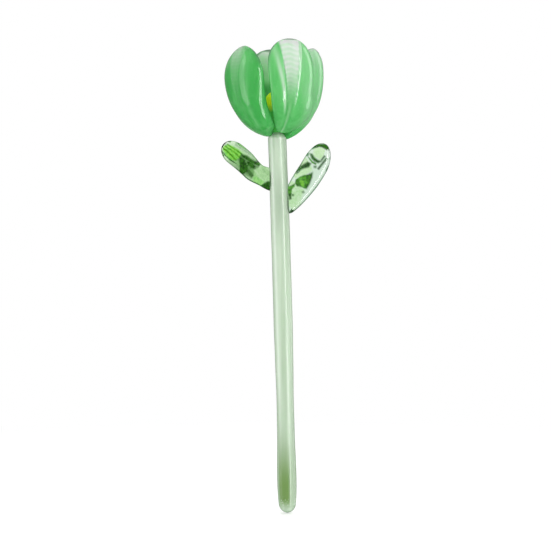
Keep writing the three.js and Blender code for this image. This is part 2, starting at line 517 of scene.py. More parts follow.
@dataclass(frozen=True)
class OpalRod:
    """Pale satin glass of the stem, with an olive foot."""

    name: str
    pale: Colour = (0.60, 0.72, 0.57)
    core: Colour = (0.49, 0.62, 0.46)
    # Painted highlight: the light streaks that stand in for the lights reflected down the rod.
    bright: Colour = (0.76, 0.86, 0.74)
    # Painted shade: the grey green that darkens the rod's right side, its left edge, its foot and round the
    # leaves' roots.
    dusky: Colour = (0.38, 0.49, 0.36)
    olive: Colour = (0.195, 0.33, 0.105)
    speck: Colour = (0.62, 0.72, 0.60)

    def material(self) -> Material:
        """Makes the finish: pale green with drawn streaks, an olive foot and specks at the very end, with
        painted highlight streaks down the rod and painted shade on its right side, its left edge, its foot
        and round the leaves' roots.

        Returns:
            The material.
        """
        material, graph, shader, _ = surface(self.name)
        streak = STREAKS.use(graph, Scale=520.0, Stretch=40.0)[0]
        bubble = BUBBLES.use(graph, Scale=1500.0, Size=0.42)[0]
        base = graph.mixed(streak, self.core, self.pale)
        for tint in ("bright", "dusky", "olive"):
            base = graph.mixed(graph.carried(tint), base, getattr(self, tint))
        base = graph.mixed(graph.times(graph.carried("speck"), bubble), base, self.speck)
        graph.feed(shader, {
            "Base Color": base, "IOR": 1.5, "Subsurface Weight": 0.5,
            "Subsurface Radius": (0.8, 1.0, 0.8), "Subsurface Scale": 2.0 * MM,
        })
        melt(graph, shader, 0.12, Scale=260.0, Glossiest=0.07, Dullest=0.14)
        return material


@dataclass(frozen=True)
class YellowBead:
    """Yellow glass of the pistil, green where it is thin."""

    name: str
    yellow: Colour = (0.72, 0.86, 0.012)
    green: Colour = (0.07, 0.46, 0.07)
    wound: float = 0.18
    # Painted light: the bead shines in its own colour, as if lit through the petals.
    painted_glow: float = 0.28

    def material(self) -> Material:
        """Makes the finish: wound streaks of yellow and green, which also give off a little light of their
        own, painted light that stands in for the light reaching the bead through the petals.

        Returns:
            The material.
        """
        material, graph, shader, _ = surface(self.name)
        wound = graph.times(STREAKS.use(graph, Scale=300.0, Stretch=0.5)[0], self.wound)
        base = graph.mixed(graph.maths("ADD", graph.carried("green"), wound), self.yellow, self.green)
        graph.feed(shader, {
            "Base Color": base, "Emission Color": base, "Emission Strength": self.painted_glow,
            "Subsurface Weight": 0.4, "Subsurface Radius": (1.0, 1.0, 0.3), "Subsurface Scale": 1.5 * MM,
        })
        melt(graph, shader, 0.15, Scale=300.0, Glossiest=0.08, Dullest=0.18)
        return material


@dataclass(frozen=True)
class ClearLeaf:
    """Clear green glass of a leaf, with patches of deeper glass on its back and painted shade along its edges
    and tip.

    Each patch has a dense and a thin colour as seen through one face. The shader tints a face by the root of
    its colour.
    """

    name: str
    tint: Colour
    strength: float
    clear: Colour = (0.97, 1.0, 0.96)
    # Painted shade: the grey of the dark outline along the leaf's edges and tip.
    rim: Shades = ((0.56, 0.65, 0.57), (0.68, 0.76, 0.69))
    wash: Shades = ((0.78, 0.97, 0.62), (0.90, 1.0, 0.77))
    sage: Shades = ((0.56, 0.79, 0.50), (0.72, 0.89, 0.65))
    lime: Shades = ((0.22, 0.72, 0.025), (0.48, 0.94, 0.13))
    green: Shades = ((0.045, 0.20, 0.012), (0.15, 0.46, 0.045))
    deep: Shades = ((0.008, 0.065, 0.002), (0.045, 0.19, 0.014))

    def material(self) -> Material:
        """Makes the finish: clear glass with a green volume, stained where the back carries a patch and
        greyed by painted shade along the edges and the tip.

        Returns:
            The material.
        """
        material, graph, shader, output = surface(self.name)
        streak = STREAKS.use(graph, Scale=1500.0, Stretch=1.4)[0]
        base: object = self.clear
        for tone in Tone:
            dense, thin = (tuple(part * part for part in colour) for colour in getattr(self, tone.value))
            base = graph.mixed(graph.carried(tone.value), base, graph.mixed(streak, dense, thin))
        graph.feed(shader, {"Base Color": base, "IOR": 1.5, "Transmission Weight": 1.0})
        melt(graph, shader, 0.02, Scale=330.0, Glossiest=0.0, Dullest=0.05)
        volume = graph.add("ShaderNodeVolumeAbsorption", {"Color": self.tint, "Density": self.strength})
        graph.feed(output, {"Volume": volume.outputs[0]})
        return material


# Stem


@dataclass(frozen=True)
class Stem:
    """The drawn rod, with a fire-polished foot, a slight waist and a domed top.

    A fade or a start is the height where a tint begins to change and where it has changed, and a band is the
    height of its middle and how far it spreads.
    """

    length: float = 128.6
    radius: float = 3.2
    radius_height: float = 66.0
    foot_radius: float = 3.3
    foot_height: float = 11.0
    foot_round: float = 3.4
    foot_end_radius: float = 2.95
    waist_radius: float = 2.9
    waist_height: float = 33.0
    shoulder_radius: float = 3.1
    dome_rise: float = 2.6
    dome_power: float = 1.45
    lean: float = 2.27
    bow: float = 1.3
    olive_start: Span = (1.0, 5.0)
    olive_fade: Span = (9.0, 30.0)
    speck_fade: Span = (3.0, 6.5)
    # Where the painted dark outline round the very foot fades.
    outline_fade: Span = (0.3, 1.3)
    # Where the painted highlight streaks fade in above the foot.
    bright_start: Span = (20.0, 50.0)
    # The band of painted shade round the leaves' roots, and the band where the right side's painted shade
    # eases.
    dusky_band: Span = (104.0, 10.0)
    pale_band: Span = (70.0, 24.0)
    sides: int = 72
    side_steps: int = 220
    end_steps: int = 22

    @property
    def shoulder(self) -> float:
        """The height where the dome begins."""
        return self.length - self.dome_rise

    @property
    def slope(self) -> float:
        """The angle by which the rod's top leans, about Y."""
        return math.atan(-(self.lean + 2.0 * self.bow) / self.length)

    def centre(self, height: Array | float) -> Array | float:
        """Tells how far along X the rod's centre line lies at a height."""
        rise = height / self.length
        return -(self.lean + self.bow * rise) * rise

    def carry(self, points: Array, angle: float, height: float) -> Array:
        """Sets a piece on the rod's centre line.

        Args:
            points: Points in the piece's own axes.
            angle: Its turn about Y, positive towards +X.
            height: The height of its origin.

        Returns:
            The points in the flower's axes.
        """
        x, y, z = np.moveaxis(points, -1, 0)
        cosine, sine = math.cos(angle), math.sin(angle)
        aside = self.centre(height) + x * cosine + z * sine
        return np.stack([aside, y, height - x * sine + z * cosine], axis=-1)

    def lift(self, points: Array) -> Array:
        """Sets a piece of the bloom on the rod's shoulder, with the slope that the rod has there."""
        return self.carry(points, self.slope, self.shoulder)

    def profile(self) -> Array:
        """Draws the rod's outline from the foot to the top of the dome.

        Returns:
            Points as rows of radius and height.
        """
        foot = quarter_ellipse(
            self.foot_round, self.foot_end_radius, self.foot_round, self.end_steps, -math.pi / 2
        )
        side = smooth_curve(
            [
                (self.foot_end_radius, self.foot_round),
                (self.foot_radius, self.foot_height),
                (self.waist_radius, self.waist_height),
                (self.radius, self.radius_height),
                (self.shoulder_radius, self.shoulder),
            ],
            self.side_steps,
        )
        dome = quarter_ellipse(0.0, 1.0, 1.0, self.end_steps) ** self.dome_power
        dome = dome * (self.shoulder_radius, self.dome_rise) + (0.0, self.shoulder)
        return np.vstack([foot, side[1:], dome[1:]])

    def build(self) -> Piece:
        """Builds the rod, drawn a little uneven by hand.

        Returns:
            The piece.
        """
        profile = self.profile()
        radius, height, turn = profile[:, :1], profile[:, 1:], full_turn(self.sides)
        uneven = 1.0 + 0.006 * np.sin(height * 0.41 + 1.0) + 0.005 * np.sin(height * 0.173 + 2.0 * turn)
        rings = lathed(radius * uneven, turn, height, self.centre(height))

        side = np.sin(turn)
        olive = (1.0 - smoothstep(height, *self.olive_fade)) * smoothstep(height, *self.olive_start)
        olive = olive * (1.0 - 0.85 * smoothstep(side, 0.1, 0.42))
        olive = olive * (1.0 - 0.75 * smoothstep(-side, 0.7, 0.88))
        speck = 1.0 - smoothstep(height, *self.speck_fade)
        # Painted highlight: a broad light streak left of the front's middle and a narrow one right of it,
        # fading out towards the foot.
        bright = 0.8 * bell(side, -0.66, 0.17) + 0.45 * bell(side, 0.3, 0.1)
        bright = bright * smoothstep(height, *self.bright_start)
        # Painted shade: a darker band across the front round the leaves' roots, a shaded right side, and a
        # dark outline down the left edge and round the very foot.
        dusky = 0.75 * bell(height, *self.dusky_band) * bell(side, 0.0, 0.5)
        shaded = smoothstep(side, 0.5, 0.85) * (1.0 - 0.5 * bell(height, *self.pale_band))
        outline = np.maximum(smoothstep(-side, 0.9, 0.98), 1.0 - smoothstep(height, *self.outline_fade))
        dusky = np.maximum(np.maximum(dusky, shaded), outline)
        return closed_piece("stem_rod_glass", rings, olive=olive, speck=speck, bright=bright, dusky=dusky)

    def dress(self, piece: Piece) -> None:
        """Dresses the rod."""
        fit(piece, "stem_rod", OpalRod("stem_opal").material())


# Bloom


@dataclass(frozen=True)
class Pistil:
    """The yellow bead on the stem's dome, wound on a short neck. Its heights are from the dome's top."""

    stem: Stem
    radius: float = 3.9
    bead_height: float = 8.8
    height: float = 13.4
    neck_radius: float = 1.7
    neck_height: float = 2.2
    foot_radius: float = 1.4
    foot_sink: float = 0.65
    green_top: float = 5.4
    yellow_foot: float = 9.4
    wound_share: float = 0.012
    wound_turns: float = 6.0
    wound_twist: float = 0.9
    sides: int = 64
    side_steps: int = 40
    crown_steps: int = 30

    def build(self) -> Piece:
        """Builds the bead.

        Returns:
            The piece.
        """
        top = self.stem.dome_rise
        foot, neck, belt = top - self.foot_sink, top + self.neck_height, top + self.bead_height
        side = smooth_curve(
            [(self.foot_radius, foot), (self.neck_radius, neck), (self.radius, belt)], self.side_steps
        )
        crown = quarter_ellipse(belt, self.radius, self.height - self.bead_height, self.crown_steps)
        profile = np.vstack([[[0.0, foot]], side, crown[1:]])
        radius, height, turn = profile[:, :1], profile[:, 1:], full_turn(self.sides)
        ribs = 1.0 + np.cos(self.wound_turns * turn + self.wound_twist * height)
        wound = 1.0 - self.wound_share * smoothstep(height, neck, belt) * ribs
        rings = self.stem.lift(lathed(radius * wound, turn, height))
        green = 1.0 - smoothstep(height, top + self.green_top, top + self.yellow_foot)
        return closed_piece("pistil_bead", rings, green=green)

    def dress(self, piece: Piece) -> None:
        """Dresses the bead."""
        fit(piece, "pistil", YellowBead("pistil_yellow").material())


@dataclass(frozen=True)
class Seam:
    """The line between two petals: its turns at claw and belly, front towards +X, and how far they part."""

    claw_turn: float
    turn: float
    parting: float
    claw_height: float = 2.0
    height: float = 11.0

    def at(self, level: Array) -> Array:
        """Gives the seam's turn at heights above the stem's shoulder."""
        return blend(self.claw_turn, self.turn, smoothstep(level, self.claw_height, self.height))


@dataclass(frozen=True)
class Petal:
    """One petal: a thick patch of an egg-shaped cup with a channel pressed into its outer face.

    Turns are degrees, and the petal runs from its start seam to its end seam. A span is where a change along
    the petal begins and ends, and a band is its middle and its spread.
    """

    name: str
    start: Seam
    end: Seam
    height: float
    claw_seat: float
    open: float
    tip_lean: float
    channel_depth: float
    paleness: float
    milkiness: float
    phase: float
    channel_aside: float = 0.0
    # How strongly the top of the start side pales: partly milky glass, partly painted sheen.
    hazy_sheen_side: float = 0.0
    tuck_start: float = 0.0
    tuck_end: float = 0.0
    roll_end: float = 0.0
    claw_lift: float = 0.0
    tip_turn: float = 0.0
    tip_turn_length: float = 5.0
    # How strongly the painted highlight and shade lines along the channel show.
    painted_lines: float = 0.3
    cloud: float = 0.0
    cloud_aside: float = 0.0
    # How strongly the painted dark outline runs down the start edge.
    rim_shade_start: float = 0.0
    shoulder: float = 0.0
    # The painted shade along the start edge low on the petal.
    shade_start: float = 0.0
    # The painted highlight along the lower end edge.
    edge_highlight: float = 0.0
    # The painted highlight streak that bows down the petal.
    streak_highlight: float = 0.0
    bloom_radius: float = 17.0
    belly: float = 20.5
    thickness: float = 4.25
    claw_thickness: float = 3.0
    claw_bite: float = 1.4
    claw_round: float = 2.4
    tip_round: float = 8.5
    tip_power: float = 2.0
    section_power: float = 0.8
    channel_claw: float = 0.5
    channel_spread: float = 3.6
    ripple: float = 0.04
    ripple_length: float = 1.2
    hand_waves: float = 0.1
    inset: float = 0.15
    seam_gap: float = 0.1
    tuck_depth: float = 1.3
    swell_start: float = -2.0
    swell_share: float = 0.56
    outer_face: Span = (0.0, 0.35)
    tuck_span: Span = (2.0, 8.0)
    parting_span: Span = (3.5, 15.5)
    shoulder_band: Span = (30.0, 6.0)
    lift_length: float = 9.0
    smooth_tip: Span = (0.4, 4.0)
    # Where the painted dark outline round the tip fades.
    tip_outline: Span = (0.3, 0.9)
    rings: int = 150
    sides: int = 176

    def edges(self, level: Array, from_claw: Array) -> tuple[Array, Array]:
        """Gives the turns of the petal's two edges.

        Args:
            level: Heights above the stem's shoulder.
            from_claw: Distances along the petal from its claw.

        Returns:
            The turns of the start and the end edge, in radians.
        """
        parted = glide(from_claw, *self.parting_span) / 2.0
        tucked = smoothstep(from_claw, *self.tuck_span)
        start = self.start.at(level) + self.start.parting * parted
        start = start - self.shoulder * bell(from_claw, *self.shoulder_band)
        end = self.end.at(level) - self.end.parting * parted
        return np.radians(start - self.tuck_start * tucked), np.radians(end + self.tuck_end * tucked)

    def build(self, stem: Stem) -> Piece:
        """Builds the petal.

        Args:
            stem: The stem that its claw is fused to.

        Returns:
            The piece.
        """
        belt = self.bloom_radius + self.open - self.thickness / 2.0
        claw_angle = -math.acos((stem.shoulder_radius - self.claw_bite) / belt)
        tip_angle = math.acos(1.0 - self.tip_lean / belt)
        claw_height = self.claw_seat + self.claw_thickness / 2.0
        lower_rise = (claw_height - self.belly) / math.sin(claw_angle)
        upper_rise = (self.height - self.belly) / math.sin(tip_angle)
        length = (tip_angle - claw_angle) * (belt + lower_rise) / 2.0

        along, around = dense_ends(self.rings), full_turn(self.sides)
        across, outward = (fuller(part, self.section_power) for part in (np.cos(around), np.sin(around)))
        angle = blend(claw_angle, tip_angle, along)
        rise = np.where(angle < 0.0, lower_rise, upper_rise)
        radius = belt * np.cos(angle)
        level = self.belly + rise * np.sin(angle)
        normal = np.stack([np.cos(angle) / belt, np.sin(angle) / rise])
        normal /= np.linalg.norm(normal, axis=0)

        from_claw = along * length
        from_tip = length - from_claw
        fullness = round_end(from_claw, self.claw_round)
        fullness = fullness * round_end(from_tip, self.tip_round, self.tip_power)
        start, end = self.edges(level, from_claw)
        half_spread = fullness * (end - start - self.seam_gap / radius) / 2.0
        swell = glide(from_claw, self.swell_start, self.swell_share * length)
        thickness = blend(self.claw_thickness, self.thickness, swell)

        outer = smoothstep(outward, *self.outer_face)
        middle = math.radians((self.start.turn + self.end.turn) / 2.0 + self.channel_aside)
        aside = (middle - (start + end) / 2.0 + across * half_spread) * radius
        off_channel = aside / (self.channel_claw + self.channel_spread * along * along)
        roll = 0.25 * smoothstep(2.0 - off_channel, 0.0, 1.0) + 0.75 * smoothstep(1.0 - off_channel, 0.0, 0.4)
        floor = roll * np.clip((1.0 + off_channel) / 1.6, 0.0, 1.0) * outer
        bent = from_tip - 0.4 * np.abs(off_channel) + 0.25 * np.sin(3.1 * off_channel + self.phase)
        wave = np.sin(2.0 * math.pi * bent / self.ripple_length + self.phase)
        pressed = self.channel_depth * floor + self.ripple * wave * floor * smoothstep(along, 0.55, 0.75)
        hand = self.hand_waves * np.sin(5.0 * along + 2.2 * across + self.phase) * outer
        eased = smoothstep(from_tip, *self.smooth_tip) * swell
        depth = (outward * thickness / 2.0 - (pressed + hand) * eased - self.inset) * fullness
        tucked = smoothstep(from_claw, *self.tuck_span) * fullness * self.tuck_depth
        for edge, tuck in ((across, self.tuck_start), (-across, self.tuck_end)):
            depth = depth - smoothstep(edge, 0.3, 1.0) * (tuck > 0.0) * tucked
        depth = depth - self.roll_end * glide(-across, 0.5, 1.1) * swell * fullness

        turn = math.radians(self.tip_turn) * (1.0 - smoothstep(from_tip, 0.0, self.tip_turn_length))
        azimuth = (start + end) / 2.0 + turn - across * half_spread
        lift = self.claw_lift * (1.0 - smoothstep(from_claw, 0.0, self.lift_length))
        level = level + lift * smoothstep(-across, -0.2, 1.0) + depth * normal[1]
        rings = stem.lift(lathed(radius + depth * normal[0], azimuth, level))
        tints = self.tints(along, across, outward, off_channel, wave, from_tip)
        return closed_piece(f"{self.name}_glass", rings, **tints)

    def tints(
        self, along: Array, across: Array, outward: Array, off_channel: Array, wave: Array, from_tip: Array
    ) -> dict[str, Array]:
        """Gives the values that the jade finish reads: the glass's own tones, with painted highlights,
        painted sheen, painted light and painted shade laid over them.

        Each stroke is a bell across the petal that comes in or goes out between two places along it.

        Args:
            along: Places from the claw at 0 to the tip at 1.
            across: Places from the end edge at -1 to the start edge at 1.
            outward: Places from the inner face at -1 to the outer face at 1.
            off_channel: Half widths of the channel from its middle towards the start edge.
            wave: The channel's ripples.
            from_tip: Distances from the tip.

        Returns:
            How pale, how milky and how dark at the edges the glass is, with painted highlights, painted
            sheen, painted light and painted shade mixed in.
        """
        risen = partial(smoothstep, along)
        outer = smoothstep(outward, *self.outer_face)
        upper = risen(0.36, 0.55) * outer
        # Painted shade and highlights along the channel: a dark line on its left wall, a light line on its
        # right crest and a broad light band left of it.
        line = bell(off_channel, 0.85, 0.16) * upper
        crest = bell(off_channel, -1.0, 0.16) * upper
        band = bell(off_channel, 1.4, 0.3) * outer * risen(0.3, 0.48) * (1.0 - 0.6 * risen(0.7, 0.95))
        # A pale line down the middle of the channel near the claw.
        thread = bell(off_channel, 0.0, 0.34) * (1.0 - upper) * risen(0.03, 0.12) * outer
        # Painted highlight along the lower end edge.
        edge_highlight = self.edge_highlight * bell(-across, 0.66, 0.07) * outer * (1.0 - risen(0.25, 0.4))
        bow = along * (0.95 * along - 1.35)
        # Painted highlight: a bowed streak down the petal, used on the left petal.
        streak_highlight = self.streak_highlight * bell(across, bow, 0.05 + 0.03 * along) * risen(0.08, 0.3) * outer

        # Paler towards the tip: partly the glass's own tone, partly painted light where light shines through
        # the thin upper petal.
        pale = self.paleness * (0.55 + 0.45 * risen(0.1, 0.55)) + 0.35 * risen(0.5, 1.0)
        # Painted shade: the dark line in the channel, the inner faces darker low in the cup, and the start
        # edge deeper low down where asked.
        pale = pale - 0.9 * self.painted_lines * line - (1.0 - outer) * (1.0 - risen(0.6, 0.72))
        pale = pale - self.shade_start * smoothstep(across, 0.1, 0.8) * (1.0 - risen(0.6, 0.8))
        pale = pale + 0.6 * self.painted_lines * thread + edge_highlight + 2.0 * streak_highlight

        inside = smoothstep(1.0 - np.abs(off_channel), 0.0, 0.3) * outer
        veil = inside * (0.9 + 0.1 * wave) * risen(0.38, 0.8)
        # Painted light: the upper inner faces pale, standing in for light shining through from the back
        # petals.
        inner = (1.0 - outer) * (0.56 * risen(0.68, 0.77) + 0.18 * risen(0.76, 0.92))
        # Partly milky glass, partly painted sheen from a high light: the top of the start side and the very
        # tip pale towards white.
        haze_and_sheen = self.hazy_sheen_side * smoothstep(across, -0.55, -0.1) * risen(0.7, 0.95) * outer
        milk_and_sheen = self.milkiness * np.clip(veil + 0.3 * risen(0.93, 1.0) + inner, 0.0, 1.0) + haze_and_sheen
        cloud = self.cloud * risen(0.08, 0.4) * outer
        cloud = cloud * (1.0 - self.cloud_aside * smoothstep(across, -0.4, 0.1))
        # Painted highlights: the band, the crest line and the end edge lighten the glass towards white,
        # together with the pale line down the channel.
        drawn = 0.8 * band + 0.75 * crest + 0.35 * thread + edge_highlight
        milk_and_sheen = np.maximum(milk_and_sheen + cloud + streak_highlight, self.painted_lines * drawn)

        # Painted shade: a dark outline along the thin edges of the upper petal, down the start edge where
        # asked, and round the tip.
        thin = 1.0 - smoothstep(np.abs(outward), 0.35, 0.7)
        rim = thin * np.maximum(risen(0.7, 0.9), self.rim_shade_start * smoothstep(across, 0.5, 0.9))
        rim = 0.85 * np.maximum(rim, 1.0 - smoothstep(from_tip, *self.tip_outline))
        return {"pale": pale, "milk_and_sheen": milk_and_sheen, "rim": rim}

    def dress(self, piece: Piece, finish: Material) -> None:
        """Dresses the petal in the jade glass that all petals share."""
        fit(piece, self.name, finish)


@dataclass(frozen=True)
class Bloom:
    """The bloom: five petals round the bead."""

    stem: Stem
    seams: tuple[Seam, ...] = (
        Seam(-6.0, -11.0, 8.0), Seam(92.0, 58.6, 1.0, 5.0, 15.0), Seam(150.0, 138.0, 10.0),
        Seam(219.6, 219.6, 1.5), Seam(271.0, 271.0, 1.5), Seam(354.0, 349.0, 8.0),
    )

    def petals(self) -> list[Petal]:
        """Lists the petals.

        Returns:
            The petals, each between two neighbouring seams.
        """
        front, right, back, back_left, left = zip(self.seams, self.seams[1:])
        return [
            Petal(
                "petal_front", *front, height=31.4, claw_seat=0.9, open=0.0, tip_lean=1.8, channel_depth=1.2,
                paleness=0.75, milkiness=1.0, phase=0.4, channel_aside=-3.8, painted_lines=1.0, cloud=0.25,
                cloud_aside=1.0, tip_power=2.35, shoulder=4.0, edge_highlight=0.6,
            ),
            Petal(
                "petal_right", *right, height=29.2, claw_seat=-0.9, open=-0.3, tip_lean=1.2,
                channel_depth=0.6, paleness=0.3, milkiness=0.85, phase=1.7, tuck_start=6.0,
                belly=22.5, tip_turn=-16.0, tip_round=6.0, cloud=0.32, hazy_sheen_side=0.25,
            ),
            Petal(
                "petal_back", *back, height=32.0, claw_seat=-0.2, open=-0.3, tip_lean=2.3, channel_depth=0.8,
                paleness=0.8, milkiness=1.0, phase=2.9, cloud=0.2, tip_round=7.5, tip_power=2.4,
            ),
            Petal(
                "petal_back_left", *back_left, height=30.5, claw_seat=0.3, open=0.0, tip_lean=2.5,
                channel_depth=0.7, paleness=0.5, milkiness=0.7, phase=4.1, tuck_start=5.0, tuck_end=5.0,
            ),
            Petal(
                "petal_left", *left, height=30.2, claw_seat=0.2, open=0.8, tip_lean=3.2, channel_depth=0.35,
                paleness=0.34, milkiness=0.25, phase=5.3, hazy_sheen_side=0.5, roll_end=1.6, claw_lift=2.2,
                rim_shade_start=1.0, tip_round=12.5, shade_start=0.6, painted_lines=0.0, streak_highlight=0.1,
            ),
        ]

    def build(self) -> None:
        """Builds and dresses the bead and the petals."""
        pistil = Pistil(self.stem)
        pistil.dress(pistil.build())
        finish = JadeOpal("petal_jade").material()
        for petal in self.petals():
            petal.dress(petal.build(self.stem), finish)


# Leaves


@dataclass(frozen=True)
class Patch:
    """A patch of deeper glass on a leaf's back, with its outline as places along and across the leaf."""

    tone: Tone
    outline: tuple[Span, ...]
    strength: float = 1.0
    soft: float = 0.15

    def mask(self, along: Array, across: Array, grow: float = 0.0) -> Array:
        """Tells which places the patch covers.

        Args:
            along: Distances from the leaf's root.
            across: Distances from the leaf's axis.
            grow: How far the patch is spread past its outline.

        Returns:
            The patch's strength inside, 0 outside.
        """
        nearest = np.full(along.shape, np.inf)
        inside = np.zeros(along.shape, bool)
        following = self.outline[1:] + self.outline[:1]
        for (along_a, across_a), (along_b, across_b) in zip(self.outline, following):
            run, lift = along_b - along_a, across_b - across_a
            share = ((along - along_a) * run + (across - across_a) * lift) / (run * run + lift * lift)
            share = np.clip(share, 0.0, 1.0)
            gap = np.hypot(along - along_a - share * run, across - across_a - share * lift)
            nearest = np.minimum(nearest, gap)
            beside = (across_a > across) != (across_b > across)
            inside ^= beside & (along < along_a + (across - across_a) * run / (lift or 1.0))
        depth = np.where(inside, nearest, -nearest) + grow
        return self.strength * smoothstep(depth, -self.soft, self.soft)


@dataclass(frozen=True)
class Leaf:
    """A pressed paddle of clear glass, fused to the stem's side."""

    name: str
    side: Side
    drop: float
    tilt: float
    length: float
    width: float
    root_width: float
    thickness: float
    root_round: float
    tip_round: float
    belly: float
    arch: float
    cords: float
    patches: tuple[Patch, ...]
    glass: ClearLeaf
    hearts: tuple[Patch, ...] = ()
    sway: float = 0.0
    sway_place: float = 9.0
    sway_spread: float = 3.4
    flare: float = 0.0
    flare_fade: Span = (6.0, 9.5)
    halo: float = 0.25
    stamp_depth: float = 0.15
    section_power: float = 0.72
    front_power: float = 0.95
    cord_depth: float = 0.1
    cord_pitch: float = 1.05
    cord_start: Span = (0.62, 0.72)
    inset: float = 0.1
    hand_waves: float = 0.04
    # Where the painted dark outline round the tip fades.
    tip_outline: Span = (0.15, 0.5)
    rings: int = 210
    sides: int = 200

    def place(self, stem: Stem, points: Array) -> Array:
        """Moves points from the leaf's own axes, with Z along it, to the flower's."""
        angle = self.side.value * math.radians(self.tilt)
        return stem.carry(points, angle, stem.shoulder - self.drop)

    def build(self, stem: Stem) -> Piece:
        """Builds the paddle, with cords and patches pressed into its back.

        Args:
            stem: The stem that carries the leaf.

        Returns:
            The piece.
        """
        along, around = dense_ends(self.rings), full_turn(self.sides)
        across = fuller(np.cos(around), self.section_power)
        power = np.where(np.sin(around) < 0.0, self.front_power, self.section_power)
        outward = fuller(np.sin(around), power)
        distance = along * self.length
        full = round_end(distance, self.root_round) * round_end(self.length - distance, self.tip_round)
        half_width = blend(self.root_width, self.width, smoothstep(distance, 0.0, self.belly)) / 2.0
        sway = self.arch * np.sin(math.pi * along)
        sway = sway + self.sway * bell(distance, self.sway_place, self.sway_spread)
        flared = self.flare * (1.0 - smoothstep(distance, *self.flare_fade)) * smoothstep(across, 0.0, 1.0)
        aside = sway + (across * half_width + flared) * full
        reached = np.broadcast_to(distance, aside.shape)

        back = smoothstep(outward, 0.05, 0.4)
        near_tip = smoothstep(along, *self.cord_start) * self.cords
        wander = 0.2 * np.sin(0.55 * reached + 1.3 * aside)
        lines = np.cos(2.0 * math.pi * (aside / self.cord_pitch + wander)) * near_tip
        tones = self.stains(reached, aside, across, back)
        tones[Tone.GREEN] += smoothstep(lines, 0.1, 0.8) * tones[Tone.LIME] * self.cords
        tones[Tone.LIME] *= 1.0 - 0.1 * smoothstep(-lines, 0.2, 0.9)

        stamped = self.stamp_depth * tones[Tone.DEEP] + self.cord_depth * lines * back
        bulge = outward * full * (self.thickness / 2.0 - self.inset)
        wave = self.hand_waves * np.sin(9.0 * along + 1.5 * across) * full * outward
        rings = np.stack([aside, bulge - stamped * full - wave, reached], axis=-1)
        carried = {tone.value: grid for tone, grid in tones.items()}
        return closed_piece(f"{self.name}_glass", self.place(stem, rings), **carried)

    def stains(self, along: Array, aside: Array, across: Array, back: Array) -> dict[Tone, Array]:
        """Lays the deeper glasses and the painted shade along the edges and the tip.

        Args:
            along: Distances from the leaf's root.
            aside: Distances from the leaf's axis.
            across: Places from one edge at -1 to the other at 1.
            back: 1 on the leaf's back, 0 on its front.

        Returns:
            How much of each glass lies at each point.
        """
        tones = {tone: np.zeros(aside.shape) for tone in Tone}
        laid: list[tuple[Tone, Array]] = [
            # Painted shade: a grey outline along the leaf's edges and round its tip.
            (Tone.RIM, smoothstep(np.abs(across), 0.84, 0.95)),
            (Tone.RIM, 1.0 - smoothstep(self.length - along, *self.tip_outline)),
        ]
        for patch in self.patches:
            laid.append((patch.tone, patch.mask(along, aside) * back))
            if patch.tone is Tone.DEEP:
                laid.append((Tone.GREEN, 0.8 * patch.mask(along, aside, self.halo) * back))
        for tone, cover in laid:
            tones[tone] = np.maximum(tones[tone], cover)
        for heart in self.hearts:
            tones[Tone.GREEN] *= 1.0 - 0.35 * heart.mask(along, aside)
            tones[Tone.DEEP] *= 1.0 - 0.9 * heart.mask(along, aside)
            core = heart.mask(along, aside, 2.0 * self.halo) * back
            tones[heart.tone] = np.maximum(tones[heart.tone], core)
        return tones

    def dress(self, piece: Piece) -> None:
        """Dresses the paddle."""
        fit(piece, self.name, self.glass.material())


